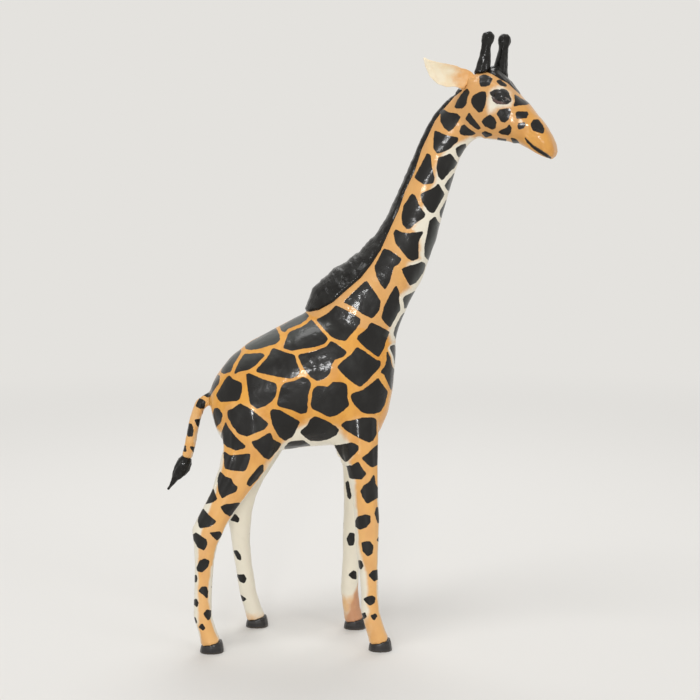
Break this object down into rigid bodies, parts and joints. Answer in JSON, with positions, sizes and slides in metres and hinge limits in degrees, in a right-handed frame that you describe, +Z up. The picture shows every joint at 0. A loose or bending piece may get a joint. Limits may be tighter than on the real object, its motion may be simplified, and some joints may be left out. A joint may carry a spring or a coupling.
{
  "type": "toy giraffe",
  "caption": "Standing toy giraffe in painted leather over a wired paper core, with mane, horns, glass eyes, bendable leather ears and a bendable tufted tail.",
  "frame": {"origin": "on the floor, at the middle of the figure's overall box", "axes": "+X forward towards the muzzle, +Y to the animal's left, +Z up"},
  "size_m": [0.2904, 0.0776, 0.4574],
  "materials": {
    "painted_hide": "hand-painted hide with dark patches under gloss varnish",
    "black_leather": "black leather, glossy, wrinkled",
    "ear_leather": "undyed leather, painted orange at the root",
    "lid_leather": "black leather, glossy",
    "hoof_black": "black lacquered leather",
    "pressed_paper": "rough pressed paper",
    "steel_wire": "plain wire",
    "peg_wood": "plain dowel",
    "eye_glass": "polished dark glass"
  },
  "bodies": {
    "figure": {"body_leather": "painted_hide", "neck_leather": "painted_hide", "head_leather": "painted_hide", "front_right_leg_leather": "painted_hide", "front_left_leg_leather": "painted_hide", "hind_right_leg_leather": "painted_hide", "hind_left_leg_leather": "painted_hide", "body_core": "pressed_paper", "neck_core": "pressed_paper", "head_core": "pressed_paper", "front_right_leg_core": "pressed_paper", "front_left_leg_core": "pressed_paper", "hind_right_leg_core": "pressed_paper", "hind_left_leg_core": "pressed_paper", "spine_wire": "steel_wire", "front_right_leg_wire": "steel_wire", "front_left_leg_wire": "steel_wire", "hind_right_leg_wire": "steel_wire", "hind_left_leg_wire": "steel_wire", "right_horn": "hoof_black", "left_horn": "hoof_black", "front_right_hoof": "hoof_black", "front_left_hoof": "hoof_black", "hind_right_hoof": "hoof_black", "hind_left_hoof": "hoof_black", "mane": "black_leather", "forehead_strip": "black_leather", "right_eyelid": "lid_leather", "left_eyelid": "lid_leather", "right_eye": "eye_glass", "left_eye": "eye_glass", "right_horn_peg": "peg_wood", "left_horn_peg": "peg_wood"},
    "tail_dock": {"tail_dock": "painted_hide"},
    "tail": {"tail_leather": "painted_hide", "tail_wire": "steel_wire", "tail_tuft": "black_leather"},
    "right_ear": {"right_ear": "ear_leather"},
    "left_ear": {"left_ear": "ear_leather"}
  },
  "joints": [
    {"name": "tail_lift", "type": "hinge", "parent": "figure", "child": "tail_dock", "pos_m": [-0.1116, 0, 0.187], "axis": [0, 1, 0], "range_deg": [-10, 50]},
    {"name": "tail_sway", "type": "hinge", "parent": "tail_dock", "child": "tail", "pos_m": [-0.1186, 0, 0.1824], "axis": [-0.9, 0, 0.436], "range_deg": [-30, 30]},
    {"name": "right_ear_flex", "type": "hinge", "parent": "figure", "child": "right_ear", "pos_m": [0.08299, -0.01381, 0.4212], "axis": [0.4146, -0.017, 0.9099], "range_deg": [-12, 40], "stiffness_Nm_per_rad": 0.007},
    {"name": "left_ear_flex", "type": "hinge", "parent": "figure", "child": "left_ear", "pos_m": [0.09004, 0.01023, 0.4148], "axis": [0.0261, -0.2534, -0.967], "range_deg": [-12, 40], "stiffness_Nm_per_rad": 0.007}
  ]
}
